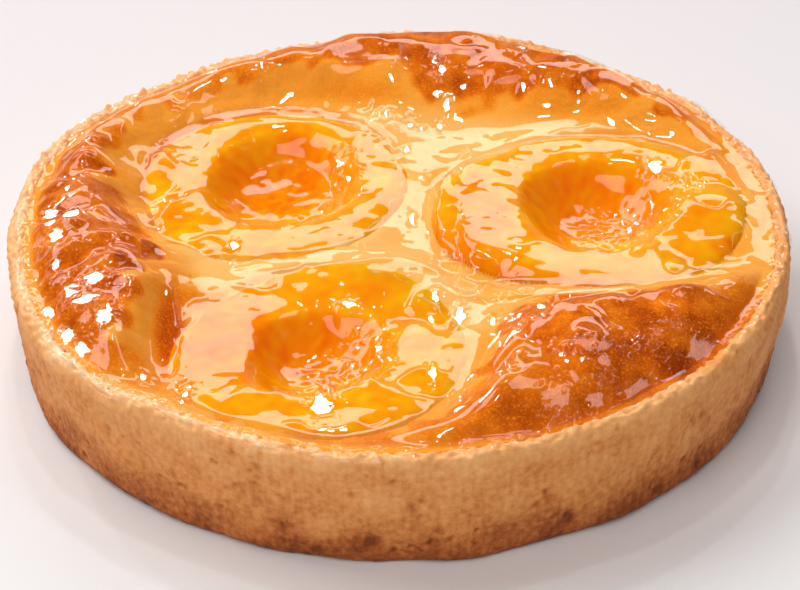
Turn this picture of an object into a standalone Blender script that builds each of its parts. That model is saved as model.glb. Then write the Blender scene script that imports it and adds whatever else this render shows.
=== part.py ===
"""Apricot tartlet: a round shortcrust case, puffed cream filling and three apricot halves.

Lengths are in millimetres until a mesh is made. The origin is the centre of the
underside, +Z is up, and headings are degrees anticlockwise from +X.
"""
import math

import bmesh
import bpy
import numpy as np

MM = 0.001
GAP = 0.3  # clearance between pieces that lie against each other

# Case
RIM_RADIUS = 50.0
RIM_HEIGHT = 16.6
BASE_RADIUS = 48.0
BASE_FOLLOW = 0.45  # share of the rim's unevenness that reaches the base
WALL = 3.0
FLOOR = 3.0
CORNER = 1.2  # rounding where the wall meets the floor, inside and out
WALL_LUMPS = 0.22
WALL_LUMP_LENGTH = 15.0
RIM_WOBBLE = 0.15
RIM_WOBBLE_LENGTH = 12.0
CASE_SIDES = 90
WALL_RINGS = (1.6, 4.6, 7.8, 11.0, 14.0)
RIM_PROFILE = ((0.15, 1.0), (0.75, 0.15), (1.5, 0.0), (2.3, 0.3))  # inset and drop, over the rim
FLAT_INSET = 16.0
# heading, radius of the rim's outer edge and its rise above the common height
RIM = ((0, 50.1, 0.0), (30, 50.2, 0.2), (52, 49.6, 0.1), (76, 50.5, 0.4), (100, 49.6, -0.4),
       (128, 49.4, -0.3), (157, 50.3, 0.3), (186, 49.5, -0.1), (217, 50.2, 0.0),
       (238, 49.5, 0.1), (270, 50.4, 0.1), (292, 49.8, -0.1), (322, 50.2, 0.1))

# Filling
CREAM_LEVEL = 15.2
VALLEY_CENTRE = (4.0, 1.0)
VALLEY_DROP = 0.7
VALLEY_WIDTH = 11.0
EDGE_PUFF = 8.5  # width over which the cream rises beside a half
LIP_WIDTH = 2.0
LUMPS = 0.08
LUMP_LENGTH = 10.0
FOLD_WANDER = 0.5
FOLD_WANDER_LENGTH = 12.0
SIDE_MIDDLE = 9.0
TOP_CELLS = 50
# The puffed ring: heading, radius of its crest, rise of the crest, width of its inner slope
PUFF = ((0, 44.0, 1.0, 6.0), (22, 43.0, 2.4, 8.0), (38, 42.0, 4.0, 12.0), (60, 41.0, 5.0, 17.0),
        (90, 40.5, 5.2, 18.0), (112, 40.5, 4.0, 14.0), (132, 41.0, 3.2, 12.0),
        (150, 40.5, 4.4, 12.0), (178, 39.0, 5.0, 13.0), (203, 38.0, 5.1, 15.0),
        (219, 39.5, 4.4, 14.0), (236, 43.0, 1.4, 8.0), (254, 44.5, 1.0, 5.0),
        (274, 42.0, 3.2, 11.0), (291, 36.5, 4.9, 15.0), (312, 35.0, 5.3, 18.0),
        (324, 37.5, 5.0, 18.0), (334, 41.0, 4.2, 16.0), (346, 44.0, 1.8, 9.0))
# Sharp folds across the puff: heading, depth and half width
FOLDS = ((203.5, 0.8, 1.5), (195.5, 1.1, 1.7), (179.5, 1.3, 1.8), (169.0, 1.0, 1.6),
         (163.5, 0.6, 1.2))

# Apricot halves. Outline: radius, then (waves, amplitude, heading) of its unevenness.
# Edge: heading, drop of the rounded edge below the cut face, rise of the cream's lip above it.
BOWL_FLOOR = 4.6
SHOULDER = 2.8
HOLLOW_SHAPE = 1.75  # above 1 widens the bottom of the pit hollow
HALF_SIDES = 42
SKIN_RINGS = (0.34, 0.6, 0.8, 0.93, 1.0)
SHOULDER_RINGS = (0.12, 0.5, 1.2, 2.2, 3.0)
HOLLOW_RINGS = (1.0, 0.86, 0.72, 0.56, 0.38, 0.2)
POCKET_TOP = 26.0
HALVES = {
    "apricot_left": {
        "centre": (-16.0, 11.8), "radius": 17.9, "level": 15.1, "tilt": (0.0, 0.01),
        "uneven": ((2, 0.5, 90.0), (3, 0.35, 20.0), (5, 0.15, 70.0)),
        "hollow": (-15.0, 12.6), "hollow_radius": 11.8, "hollow_depth": 5.4,
        "hollow_uneven": ((2, 0.8, 70.0), (3, 0.4, 100.0)),
        "edge": ((0, 1.0, 1.2), (45, 1.0, 1.9), (120, 1.0, 1.8), (170, 1.0, 1.4), (215, 1.2, 0.9),
                 (270, 0.8, 0.7), (320, 0.9, 0.9)),
    },
    "apricot_right": {
        "centre": (25.2, 3.0), "radius": 19.0, "level": 16.9, "tilt": (-0.02, -0.01),
        "uneven": ((2, 1.2, 0.0), (3, 0.4, 60.0), (4, 0.2, 10.0)),
        "hollow": (25.8, 2.6), "hollow_radius": 11.3, "hollow_depth": 5.9,
        "hollow_uneven": ((2, 0.5, 95.0), (3, 0.4, 30.0)),
        "edge": ((10, 0.7, 0.3), (60, 0.9, 0.9), (100, 1.2, 1.2), (138, 1.8, 0.5), (162, 2.6, 0.0),
                 (226, 2.6, 0.0), (258, 1.3, 0.7), (290, 0.8, 0.7), (330, 1.3, 0.5)),
    },
    "apricot_front": {
        "centre": (-9.5, -26.8), "radius": 17.7, "level": 15.7, "tilt": (0.0, -0.01),
        "uneven": ((2, 0.3, 30.0), (3, 0.4, 80.0), (5, 0.15, 10.0)),
        "hollow": (-9.4, -27.6), "hollow_radius": 9.8, "hollow_depth": 5.1,
        "hollow_uneven": ((2, 0.5, 60.0), (3, 0.4, 10.0)),
        "edge": ((0, 0.5, 0.8), (60, 0.3, 1.0), (110, 0.6, 1.0), (150, 1.2, 0.6), (190, 1.5, 0.4),
                 (225, 1.3, 0.7), (270, 1.0, 1.0), (320, 0.8, 1.0)),
    },
}

COLOURS = {
    "crust": ((0.62, 0.34, 0.13), 0.75),
    "filling": ((0.80, 0.44, 0.16), 0.25),
    "apricot": ((0.90, 0.38, 0.03), 0.2),
}


def smooth(t):
    t = np.clip(t, 0.0, 1.0)
    return t * t * (3.0 - 2.0 * t)


def bulge(t):
    """Quarter-round rise from 0 to 1."""
    t = np.clip(t, 0.0, 1.0)
    return np.sqrt(1.0 - (1.0 - t) ** 2)


def waves(x, y, length, seed):
    """Even random unevenness of about one unit, from sines that run in several directions."""
    rng = np.random.RandomState(seed)
    total = np.zeros(np.shape(x))
    for _ in range(6):
        heading, stretch, phase = rng.uniform(0.0, 1.0, 3)
        run = x * math.cos(2 * math.pi * heading) + y * math.sin(2 * math.pi * heading)
        total = total + np.sin(2 * math.pi * (run / (length * (0.75 + 0.6 * stretch)) + phase))
    return total / math.sqrt(6)


def around(heading, stops, column=1):
    """A value that runs smoothly round the tart through the stops."""
    turn = np.mod(heading, 360.0)
    angles = np.array([stop[0] for stop in stops] + [stops[0][0] + 360.0])
    values = np.array([stop[column] for stop in stops] + [stops[0][column]])
    index = np.clip(np.searchsorted(angles, turn, side="right") - 1, 0, len(stops) - 1)
    share = smooth((turn - angles[index]) / (angles[index + 1] - angles[index]))
    return values[index] + (values[index + 1] - values[index]) * share


def polar(x, y, centre):
    dx = x - centre[0]
    dy = y - centre[1]
    return np.hypot(dx, dy), np.degrees(np.arctan2(dy, dx))


def uneven_radius(radius, terms, heading):
    total = np.full(np.shape(heading), float(radius))
    for count, amount, start in terms:
        total = total + amount * np.cos(np.radians(count * (heading - start)))
    return total


def outline(half, heading):
    return uneven_radius(half["radius"], half["uneven"], heading)


def inner_wall(heading, z):
    """Radius of the inside of the case at height z."""
    top = around(heading, RIM) - WALL
    return top + (BASE_RADIUS - RIM_RADIUS) * (1.0 - z / RIM_HEIGHT)


def cream_height(x, y):
    """Height of the filling's top."""
    r, heading = polar(x, y, (0.0, 0.0))
    wall = inner_wall(heading, CREAM_LEVEL) - GAP
    crest = around(heading, PUFF, 1)
    rise = around(heading, PUFF, 2)
    slope = around(heading, PUFF, 3)
    inward = smooth(1.0 - (crest - r) / slope)
    outward = bulge((wall - r) / (wall - crest))
    puff = rise * np.where(r < crest, inward, outward)
    puff = puff * (1.0 + LUMPS * waves(x, y, LUMP_LENGTH, 3))
    for fold, depth, width in FOLDS:
        arc = np.radians(heading % 360.0 - fold) * r
        arc = arc + FOLD_WANDER * waves(x, y, FOLD_WANDER_LENGTH, 5)
        puff = puff - depth * np.exp(-np.abs(arc) / width) * smooth(puff / 4.0)
    across, _ = polar(x, y, VALLEY_CENTRE)
    height = CREAM_LEVEL + puff - VALLEY_DROP * np.exp(-((across / VALLEY_WIDTH) ** 2))
    for half in HALVES.values():
        rho, bearing = polar(x, y, half["centre"])
        beyond = rho - outline(half, bearing)
        lip = half["level"] - around(bearing, half["edge"])
        lip = lip + around(bearing, half["edge"], 2) * bulge((beyond + GAP) / LIP_WIDTH)
        height = lip + (height - lip) * smooth((beyond + 0.5) / EDGE_PUFF)
    return height


def half_height(half, x, y):
    """Height of the cut face of an apricot half, with its rounded edge and pit hollow."""
    rho, bearing = polar(x, y, half["centre"])
    edge = outline(half, bearing)
    face = half["level"] + half["tilt"][0] * (x - half["centre"][0])
    face = face + half["tilt"][1] * (y - half["centre"][1])
    face = face - around(bearing, half["edge"]) * (1.0 - bulge((edge - rho) / SHOULDER))
    deep, turn = polar(x, y, half["hollow"])
    reach = uneven_radius(half["hollow_radius"], half["hollow_uneven"], turn)
    return face - half["hollow_depth"] * (1.0 - smooth((deep / reach) ** HOLLOW_SHAPE))


def mesh_from_rings(name, rings):
    """Closed body from rings of points that run from one pole to the other."""
    bm = bmesh.new()
    loops = []
    for ring in rings:
        loops.append([bm.verts.new([value * MM for value in point]) for point in ring])
    for lower, upper in zip(loops, loops[1:]):
        if len(lower) == 1 or len(upper) == 1:
            pole, rim = (lower[0], upper) if len(lower) == 1 else (upper[0], lower)
            for k, vert in enumerate(rim):
                bm.faces.new((pole, vert, rim[(k + 1) % len(rim)]))
            continue
        for k in range(len(lower)):
            after = (k + 1) % len(lower)
            bm.faces.new((lower[k], lower[after], upper[after], upper[k]))
    return finish_mesh(name, bm)


def finish_mesh(name, bm):
    bmesh.ops.triangulate(bm, faces=bm.faces[:])
    bmesh.ops.recalc_face_normals(bm, faces=bm.faces[:])
    mesh = bpy.data.meshes.new(name)
    bm.to_mesh(mesh)
    bm.free()
    mesh.shade_smooth()
    obj = bpy.data.objects.new(name, mesh)
    bpy.context.scene.collection.objects.link(obj)
    return obj


def give_material(obj, key):
    colour, roughness = COLOURS[key]
    material = bpy.data.materials.new(obj.name)
    material.use_nodes = True
    shader = material.node_tree.nodes["Principled BSDF"]
    shader.inputs["Base Color"].default_value = (*colour, 1.0)
    shader.inputs["Roughness"].default_value = roughness
    obj.data.materials.clear()
    obj.data.materials.append(material)


def round_ring(headings, radii, heights):
    angle = np.radians(headings)
    heights = np.broadcast_to(heights, angle.shape)
    return list(zip(radii * np.cos(angle), radii * np.sin(angle), heights))


def build_case():
    headings = np.arange(CASE_SIDES) * 360.0 / CASE_SIDES
    rim = around(headings, RIM)
    rim_x = rim * np.cos(np.radians(headings))
    rim_y = rim * np.sin(np.radians(headings))
    base = BASE_RADIUS + BASE_FOLLOW * (rim - RIM_RADIUS)
    top = RIM_HEIGHT + around(headings, RIM, 2)
    top = top + RIM_WOBBLE * waves(rim_x, rim_y, RIM_WOBBLE_LENGTH, 11)

    def side(z):
        lean = base + (rim - base) * z / RIM_HEIGHT
        return lean + WALL_LUMPS * waves(rim_x + z, rim_y - z, WALL_LUMP_LENGTH, 12)

    rings = [[(0.0, 0.0, 0.0)]]
    rings.append(round_ring(headings, base - FLAT_INSET, 0.0))
    rings.append(round_ring(headings, base - CORNER, 0.0))
    rings.append(round_ring(headings, side(0.0) - 0.3 * CORNER, 0.35 * CORNER))
    for z in WALL_RINGS:
        rings.append(round_ring(headings, side(z), z))
    for inset, drop in RIM_PROFILE:
        rings.append(round_ring(headings, rim - inset, top - drop))
    rings.append(round_ring(headings, inner_wall(headings, CREAM_LEVEL), CREAM_LEVEL))
    rings.append(round_ring(headings, inner_wall(headings, SIDE_MIDDLE), SIDE_MIDDLE))
    rings.append(round_ring(headings, inner_wall(headings, FLOOR), FLOOR + CORNER))
    rings.append(round_ring(headings, inner_wall(headings, FLOOR) - CORNER, FLOOR))
    rings.append(round_ring(headings, inner_wall(headings, FLOOR) - FLAT_INSET, FLOOR))
    rings.append([(0.0, 0.0, FLOOR)])
    return mesh_from_rings("crust", rings)


def build_filling_blank():
    """The cream as one body that fills the case, before the halves are pressed in."""
    step = np.linspace(-1.0, 1.0, TOP_CELLS + 1)
    u, v = np.meshgrid(step, step)
    x = u * np.sqrt(1.0 - v * v / 2.0)
    y = v * np.sqrt(1.0 - u * u / 2.0)
    _, heading = polar(x, y, (0.0, 0.0))
    wall = inner_wall(heading, CREAM_LEVEL) - GAP
    x = x * wall
    y = y * wall
    z = cream_height(x, y)
    bm = bmesh.new()
    grid = []
    for row in range(TOP_CELLS + 1):
        grid.append([bm.verts.new((x[row, k] * MM, y[row, k] * MM, z[row, k] * MM))
                     for k in range(TOP_CELLS + 1)])
    for row in range(TOP_CELLS):
        for k in range(TOP_CELLS):
            bm.faces.new((grid[row][k], grid[row][k + 1], grid[row + 1][k + 1], grid[row + 1][k]))
    last = TOP_CELLS
    rim = grid[0][:last] + [grid[k][last] for k in range(last)]
    rim += [grid[last][last - k] for k in range(last)] + [grid[last - k][0] for k in range(last)]
    upper = rim
    levels = ((SIDE_MIDDLE, 0.0), (FLOOR + GAP + CORNER, 0.0), (FLOOR + GAP, CORNER + GAP))
    for level, inset in levels:
        lower = []
        for vert in rim:
            bearing = math.degrees(math.atan2(vert.co.y, vert.co.x))
            radius = float(inner_wall(bearing, level)) - GAP - inset
            angle = math.radians(bearing)
            lower.append(bm.verts.new((radius * math.cos(angle) * MM,
                                       radius * math.sin(angle) * MM, level * MM)))
        for k in range(len(rim)):
            after = (k + 1) % len(rim)
            bm.faces.new((upper[after], upper[k], lower[k], lower[after]))
        upper = lower
    centre = bm.verts.new((0.0, 0.0, (FLOOR + GAP) * MM))
    for k in range(len(upper)):
        bm.faces.new((centre, upper[k], upper[(k + 1) % len(upper)]))
    return finish_mesh("filling", bm)


def half_rings(half, grow):
    """Rings of the skin side, from the pole at the bottom to the edge, grown by a clearance."""
    headings = np.arange(HALF_SIDES) * 360.0 / HALF_SIDES
    cx, cy = half["centre"]
    reach = outline(half, headings)
    edge_x = cx + reach * np.cos(np.radians(headings))
    edge_y = cy + reach * np.sin(np.radians(headings))
    edge_z = half_height(half, edge_x, edge_y)
    depth = float(np.mean(edge_z)) - BOWL_FLOOR
    rings = [[(cx, cy, BOWL_FLOOR - grow)]]
    for share in SKIN_RINGS:
        radii = (reach + grow) * share
        drop = (depth + grow) * math.sqrt(1.0 - share * share)
        level = share * edge_z + (1.0 - share) * float(np.mean(edge_z))
        x = cx + radii * np.cos(np.radians(headings))
        y = cy + radii * np.sin(np.radians(headings))
        rings.append(list(zip(x, y, level - drop)))
    return rings


def build_half(name, half):
    headings = np.arange(HALF_SIDES) * 360.0 / HALF_SIDES
    cosine = np.cos(np.radians(headings))
    sine = np.sin(np.radians(headings))
    rings = half_rings(half, 0.0)
    cx, cy = half["centre"]
    hx, hy = half["hollow"]
    reach = outline(half, headings)
    lip = uneven_radius(half["hollow_radius"], half["hollow_uneven"], headings)
    spots = []
    for inset in SHOULDER_RINGS:
        spots.append((cx + (reach - inset) * cosine, cy + (reach - inset) * sine))
    spots.append(((spots[-1][0] + hx + lip * cosine) / 2.0, (spots[-1][1] + hy + lip * sine) / 2.0))
    for share in HOLLOW_RINGS:
        spots.append((hx + share * lip * cosine, hy + share * lip * sine))
    for x, y in spots:
        rings.append(list(zip(x, y, half_height(half, x, y))))
    rings.append([(hx, hy, float(half_height(half, np.array(hx), np.array(hy))))])
    return mesh_from_rings(name, rings)


def build_pocket(name, half):
    """Cutter for the seat of one half: its skin side grown by the clearance, open upwards."""
    rings = half_rings(half, GAP)
    rings.append([(x, y, POCKET_TOP) for x, y, _ in rings[-1]])
    rings.append([(half["centre"][0], half["centre"][1], POCKET_TOP)])
    cutter = mesh_from_rings(name, rings)
    cutter.hide_render = True
    cutter.display_type = "WIRE"
    return cutter


def cut(target, cutter):
    modifier = target.modifiers.new(cutter.name, "BOOLEAN")
    modifier.operation = "DIFFERENCE"
    modifier.solver = "EXACT"
    modifier.object = cutter


for old in list(bpy.data.objects):
    bpy.data.objects.remove(old, do_unlink=True)

crust = build_case()
give_material(crust, "crust")

filling = build_filling_blank()
give_material(filling, "filling")

for half_name, half_shape in HALVES.items():
    piece = build_half(half_name, half_shape)
    give_material(piece, "apricot")
    cut(filling, build_pocket("pocket_" + half_name, half_shape))
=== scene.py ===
"""Looks of the apricot tartlet: baked crust, browned cream, apricot halves and a clear glaze.

Shapes are worked out in millimetres, in the frame's own axes: +Z up, the origin under the
middle of the base, headings in degrees anticlockwise from +X.
"""
import math

import bpy
import numpy as np
from mathutils import Matrix, Vector


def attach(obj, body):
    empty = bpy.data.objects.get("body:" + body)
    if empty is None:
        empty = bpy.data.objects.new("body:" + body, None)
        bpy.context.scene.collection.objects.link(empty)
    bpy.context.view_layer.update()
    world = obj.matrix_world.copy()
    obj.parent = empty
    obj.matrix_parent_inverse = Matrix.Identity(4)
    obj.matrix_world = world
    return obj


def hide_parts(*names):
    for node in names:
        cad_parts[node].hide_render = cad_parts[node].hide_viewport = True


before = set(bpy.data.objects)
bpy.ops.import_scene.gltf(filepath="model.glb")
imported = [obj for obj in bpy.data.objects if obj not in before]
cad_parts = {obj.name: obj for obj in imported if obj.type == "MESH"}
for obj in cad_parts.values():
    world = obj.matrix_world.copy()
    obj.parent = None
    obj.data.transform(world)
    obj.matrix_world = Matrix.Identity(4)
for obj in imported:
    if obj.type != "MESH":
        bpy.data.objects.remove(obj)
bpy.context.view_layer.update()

MM = 0.001  # a millimetre in metres

# ------ sizes shared with the solids
RIM_RADIUS = 50.0
RIM_HEIGHT = 16.6
BASE_RADIUS = 48.0
BASE_FOLLOW = 0.45
WALL = 3.0
WALL_LUMPS = 0.22
WALL_LUMP_LENGTH = 15.0
RIM_WOBBLE = 0.15
RIM_WOBBLE_LENGTH = 12.0
# the rim: heading, radius, rise
RIM = (
    (0, 50.1, 0), (30, 50.2, 0.2), (52, 49.6, 0.1), (76, 50.5, 0.4), (100, 49.6, -0.4), (128, 49.4, -0.3),
    (157, 50.3, 0.3), (186, 49.5, -0.1), (217, 50.2, 0), (238, 49.5, 0.1), (270, 50.4, 0.1),
    (292, 49.8, -0.1), (322, 50.2, 0.1))
CREAM_LEVEL = 15.2
VALLEY_CENTRE = (4.0, 1.0)
VALLEY_DROP = 0.7
VALLEY_WIDTH = 11.0
EDGE_PUFF = 8.5
LIP_WIDTH = 2.0
LUMPS = 0.08
LUMP_LENGTH = 10.0
FOLD_WANDER = 0.5
FOLD_WANDER_LENGTH = 12.0
FOLD_RISE = 4.0  # rise of the ring at which a fold has its full depth
# the puffed ring: heading, radius of its crest, rise, reach inwards
PUFF = (
    (0, 44, 1, 6), (22, 43, 2.4, 8), (38, 42, 4, 12), (60, 41, 5, 17), (90, 40.5, 5.2, 18),
    (112, 40.5, 4, 14), (132, 41, 3.2, 12), (150, 40.5, 4.4, 12), (178, 39, 5, 13), (203, 38, 5.1, 15),
    (219, 39.5, 4.4, 14), (236, 43, 1.4, 8), (254, 44.5, 1, 5), (274, 42, 3.2, 11), (291, 36.5, 4.9, 15),
    (312, 35, 5.3, 18), (324, 37.5, 5, 18), (334, 41, 4.2, 16), (346, 44, 1.8, 9))
# sharp folds in it: heading, depth, width
FOLDS = (
    (203.5, 0.8, 1.5), (195.5, 1.1, 1.7), (179.5, 1.3, 1.8), (169, 1, 1.6), (163.5, 0.6, 1.2))
BOWL_FLOOR = 4.6
GAP = 0.3  # between neighbouring solids
TUCK = 0.5  # how far inside a half's outline the cream starts to rise
SHOULDER = 2.8
HOLLOW_SHAPE = 1.75
# the halves; uneven: waves, amount, start; edge: heading, drop of the edge, rise of the cream
# beside it; relief: heading, how far it spreads, lift of the outer edge, swelling of the face
HALVES = {
    "apricot_left": {
        "centre": (-16, 11.8), "radius": 17.9, "level": 15.1, "tilt": (0, 0.01),
        "uneven": ((2, 0.5, 90), (3, 0.35, 20), (5, 0.15, 70)),
        "hollow": (-15, 12.6), "hollow_radius": 11.8, "hollow_depth": 5.4,
        "hollow_uneven": ((2, 0.8, 70), (3, 0.4, 100)),
        "edge": ((0, 1, 1.2), (45, 1, 1.9), (120, 1, 1.8), (170, 1, 1.4), (215, 1.2, 0.9),
            (270, 0.8, 0.7), (320, 0.9, 0.9)),
        "relief": ((80, 90, 0, 0.4), (0, 70, 0, 0.3)),
    },
    "apricot_right": {
        "centre": (25.2, 3), "radius": 19, "level": 16.9, "tilt": (-0.02, -0.01),
        "uneven": ((2, 1.2, 0), (3, 0.4, 60), (4, 0.2, 10)),
        "hollow": (25.8, 2.6), "hollow_radius": 11.3, "hollow_depth": 5.9,
        "hollow_uneven": ((2, 0.5, 95), (3, 0.4, 30)),
        "edge": ((10, 0.7, 0.3), (60, 0.9, 0.9), (100, 1.2, 1.2), (138, 1.8, 0.5), (162, 2.6, 0),
            (226, 2.6, 0), (258, 1.3, 0.7), (290, 0.8, 0.7), (330, 1.3, 0.5)),
        "relief": ((80, 70, 0, 0.4), (10, 50, 0, 0.3)),
    },
    "apricot_front": {
        "centre": (-9.5, -26.8), "radius": 17.7, "level": 15.7, "tilt": (0, -0.01),
        "uneven": ((2, 0.3, 30), (3, 0.4, 80), (5, 0.15, 10)),
        "hollow": (-9.4, -27.6), "hollow_radius": 9.8, "hollow_depth": 5.1,
        "hollow_uneven": ((2, 0.5, 60), (3, 0.4, 10)),
        "edge": ((0, 0.5, 0.8), (60, 0.3, 1), (110, 0.6, 1), (150, 1.2, 0.6), (190, 1.5, 0.4),
            (225, 1.3, 0.7), (270, 1, 1), (320, 0.8, 1)),
        "relief": ((55, 85, 0.8, 0), (270, 70, 0, 0.4)),
    },
}

# ------ sizes of the fine surface
FIELD_STEP = 0.15  # spacing of the height fields
FIELD_HALF = 54.0  # half their width
CRUST_COLUMNS = 1000
WALL_STEP = 0.34
CREAM_CELLS = 290
GLAZE_CELLS = 420
HALF_COLUMNS = 300
HALF_FACE_RINGS = 84

# browning of the puffed ring: heading, radius where it starts, depth, width of its inner edge
BROWNING = (
    (10, 44, 0.16, 3), (24, 43.3, 0.42, 3), (34, 42.3, 0.56, 3), (43, 40, 0.66, 3), (49, 37.5, 0.7, 3.5),
    (56, 34.5, 0.72, 4), (62, 31, 0.7, 4), (71, 29, 0.7, 4), (80, 29, 0.72, 4), (90, 34, 0.76, 3.5),
    (105, 36.7, 0.7, 3), (115, 38, 0.58, 3), (126, 39.3, 0.5, 3), (138, 41.5, 0.46, 3),
    (146, 41.8, 0.52, 2.5), (156, 40.3, 0.62, 2.5), (165, 38.3, 0.68, 2.5), (172, 35, 0.7, 2.5),
    (181, 30.5, 0.66, 2.5), (194, 30.3, 0.7, 2), (202, 33.8, 0.74, 2), (209, 36.2, 0.72, 2),
    (215, 38.2, 0.7, 2.5), (219, 41.5, 0.5, 3), (226, 43, 0.28, 3), (245, 44, 0.24, 3),
    (258, 43.5, 0.42, 2), (267, 42, 0.48, 2), (277, 40.7, 0.5, 2.5), (282, 37, 0.52, 3),
    (287, 33, 0.56, 3), (293, 29.5, 0.58, 3), (300, 24, 0.68, 3), (317, 26, 0.72, 2.5),
    (328, 33, 0.72, 2.5), (335, 42.3, 0.6, 2.5), (346, 45, 0.2, 3))
# darker places on the filling: centre, reach across and along, strength; the first is painted shade in
# the dark groove beside the front half's left edge
SHADE_AND_DARK_PLACES = (
    (-27.4, -22.5, 2.6, 9.5, 0.52), (-23.5, -15.5, 4, 3, 0.35), (-6, 31, 9, 4, 0.12),
    (25, 28, 12, 5, 0.1), (-28, -11, 4, 9, 0.12), (33, -34, 18, 10, 0.14), (15, -43, 14, 5, 0.14),
    (-31, -31, 7, 4, 0.16), (0, -10, 9, 2, 0.15), (6, 12, 2.5, 5, 0.12), (18, -16.5, 12, 1.6, 0.2))

# riper, darker places on the fruit: centre, reach across and along, strength; the first is partly painted
# shade where the front half's left flank lies in shade, partly a deeper tone
RIPE_AND_SHADE = (
    (-22, -22.6, 7.5, 15, 0.26), (10.6, 0, 4.5, 10, 0.2), (-29, 19, 5, 9, 0.15), (-9, -30, 8, 6, -0.1),
    (26, -1, 8, 5, -0.12))
# distance of the glaze's edge inside the rim's outer edge, by heading
GLAZE_INSET = (
    (0, 0.5), (60, 0.7), (120, 0.9), (180, 1.2), (222, 0.5), (250, 0.5), (272, 0.9), (300, 1.1),
    (330, 0.7))
# places where the top leans: centre, reach across and along, slope towards the front
LEANS = (
    (40, -3, 9, 12, 0.16), (-3, -15.5, 14, 9, 0.15), (5.5, -19, 6, 7, 0.12), (-12, -37.5, 10, 6, 0.13),
    (-28.5, -1, 6, 8, -0.16), (-31.5, 11, 4, 5, 0.14), (-15, 34, 15, 5, 0.1), (-1, 22, 5, 8, 0.14),
    (20, 36.5, 13, 7, -0.14), (6.5, 2, 3, 14, 0.1))
# places where the glaze stands at an even slope: centre, reach across and along, slope to the front
POOLS = (
    (-21.8, -22.6, 4.2, 10, 0), (-28.4, -22, 1.8, 8, 0.15), (-14.5, -12.4, 7, 2, 0),
    (-3.5, -13.3, 10, 5.5, 0.13), (4.5, -18.8, 3, 5, 0.13), (2.2, -27.2, 2.6, 6, 0),
    (-8, -37.6, 10, 3.6, 0.13), (3.5, -34.3, 3.5, 2.6, 0.13), (7.6, -30, 1.6, 9, 0),
    (-26, 2, 5, 6.5, 0.13), (-28.5, 19, 3.5, 8.5, 0), (-31, 14, 2, 5, 0.13), (-17, 28.2, 10, 1.8, 0),
    (-12.5, 28.6, 3, 1.4, 0.13), (-3, 17, 2.6, 8, 0), (-14, -1, 9, 2.6, 0), (-15, 15.5, 7.5, 6.5, 0.13),
    (26, -12.8, 19, 5.2, 0), (10.6, 1.5, 4.4, 12, 0), (6.4, -1, 1.6, 12, 0.13), (10, -10.5, 2.5, 3, 0.13),
    (24, 16.4, 7, 2, 0), (27, 20.4, 6, 1.4, 0.13), (39, -6.7, 6.5, 6, 0.13),
    (38.5, -13.7, 2.5, 1.6, 0.13), (40.5, 7.8, 4, 6, 0.13), (17, 36.5, 8, 4.5, 0),
    (-2.5, 37, 4.5, 1.6, 0), (26, 33.5, 3.5, 3, 0), (-10, -7.3, 9, 2, 0), (3, 17, 4, 4, 0),
    (25.5, -17.6, 13, 1.2, 0), (19.5, -29.5, 4.5, 4.2, 0.14), (29, -26, 4.5, 4.5, 0.14),
    (37, -24.5, 3.6, 3.6, 0.14), (13, -33, 2.5, 4, 0.14), (24, -22, 5, 1.6, 0.14),
    (-5.5, 37.6, 4.5, 2.6, 0.14), (6.5, 36, 5, 2.8, 0.14), (29.5, 30, 4, 2.6, 0.14),
    (36, 24.5, 3, 2.4, 0.14), (-39.5, 11.5, 3.4, 3, 0.14), (-35.5, -1.5, 4.2, 2, 0.14),
    (-33.5, -12, 2.2, 5, 0.14), (-40.5, -10.5, 2.6, 3.2, 0.14), (-38, 20, 2.2, 3, 0.14),
    (-38.5, -26.5, 2.6, 3, 0.14))
# places where the glaze is crinkled: centre, reach, strength
CRINKLES = (
    (28.5, 2.5, 9, 1), (-6, -28.5, 8.5, 0.9), (-6.5, 13.5, 3.5, 0.9), (14.5, -24, 5, 0.35),
    (41, 5, 6, 0.45), (-1, 25, 5, 0.8), (17, 31, 4, 0.4), (-27, -34, 5, 0.6), (-12, 5.5, 7, 0.5))
# places where the glaze lies so that it catches a lamp: centre, reach across and along
GLINTS = (
    (-42.2, -20.2, 0.8, 2), (-39.4, -25.2, 1, 1.7), (-37.4, -28, 0.9, 1.5), (-35, -24, 1.1, 2.2),
    (-37.6, -21, 1.8, 1.3), (-37, -16.6, 1.7, 1.1), (-39.6, -18.6, 0.9, 1.5), (-42.5, -6.6, 1.1, 1.4),
    (-43.8, 0, 1.1, 1.5), (-41, -1.8, 1.2, 1.2), (-43.4, -3.4, 1.1, 0.8), (-42, -12.5, 0.7, 1.1),
    (-9, -38.6, 1.3, 2), (-2.4, -24.4, 0.6, 1.7), (-1.2, -27.2, 0.6, 1.5), (-6, -17.6, 1.2, 0.7),
    (7.5, -20.4, 0.8, 2), (11.5, -22.5, 0.5, 1.2), (4.6, -16.8, 0.5, 1.1), (4, -20.8, 0.5, 0.9),
    (4, -32.5, 0.5, 1.4), (10.8, -31.6, 0.3, 1.2), (11.8, -31.2, 0.3, 1.1), (13.6, -29.6, 0.4, 0.8),
    (-20.5, -3.2, 0.6, 1.1), (33.8, 11.4, 1.1, 1.5), (33, 6.2, 0.4, 1.5), (37.5, 6, 0.35, 2),
    (2, 3, 0.5, 1.5), (-7.2, 18.3, 1.1, 1.7), (-6.3, 14.6, 0.7, 0.8), (5.6, 35, 0.6, 1.2),
    (6.5, 33.2, 0.6, 1.2), (7, 28.2, 0.5, 1.2), (17.5, 36.8, 0.6, 0.9), (17.3, 29.6, 0.5, 1),
    (2, 24.5, 0.6, 0.7), (3.4, 23.9, 0.5, 0.6), (-1.8, 26.8, 0.9, 0.7), (1.5, 19, 0.4, 1),
    (6, 24.4, 0.5, 0.9), (-30, -32.4, 0.5, 0.9), (-24.9, -35.4, 0.5, 0.7), (-25, -38.2, 0.5, 0.7),
    (-18.2, 35.8, 0.3, 1.2))
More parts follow.
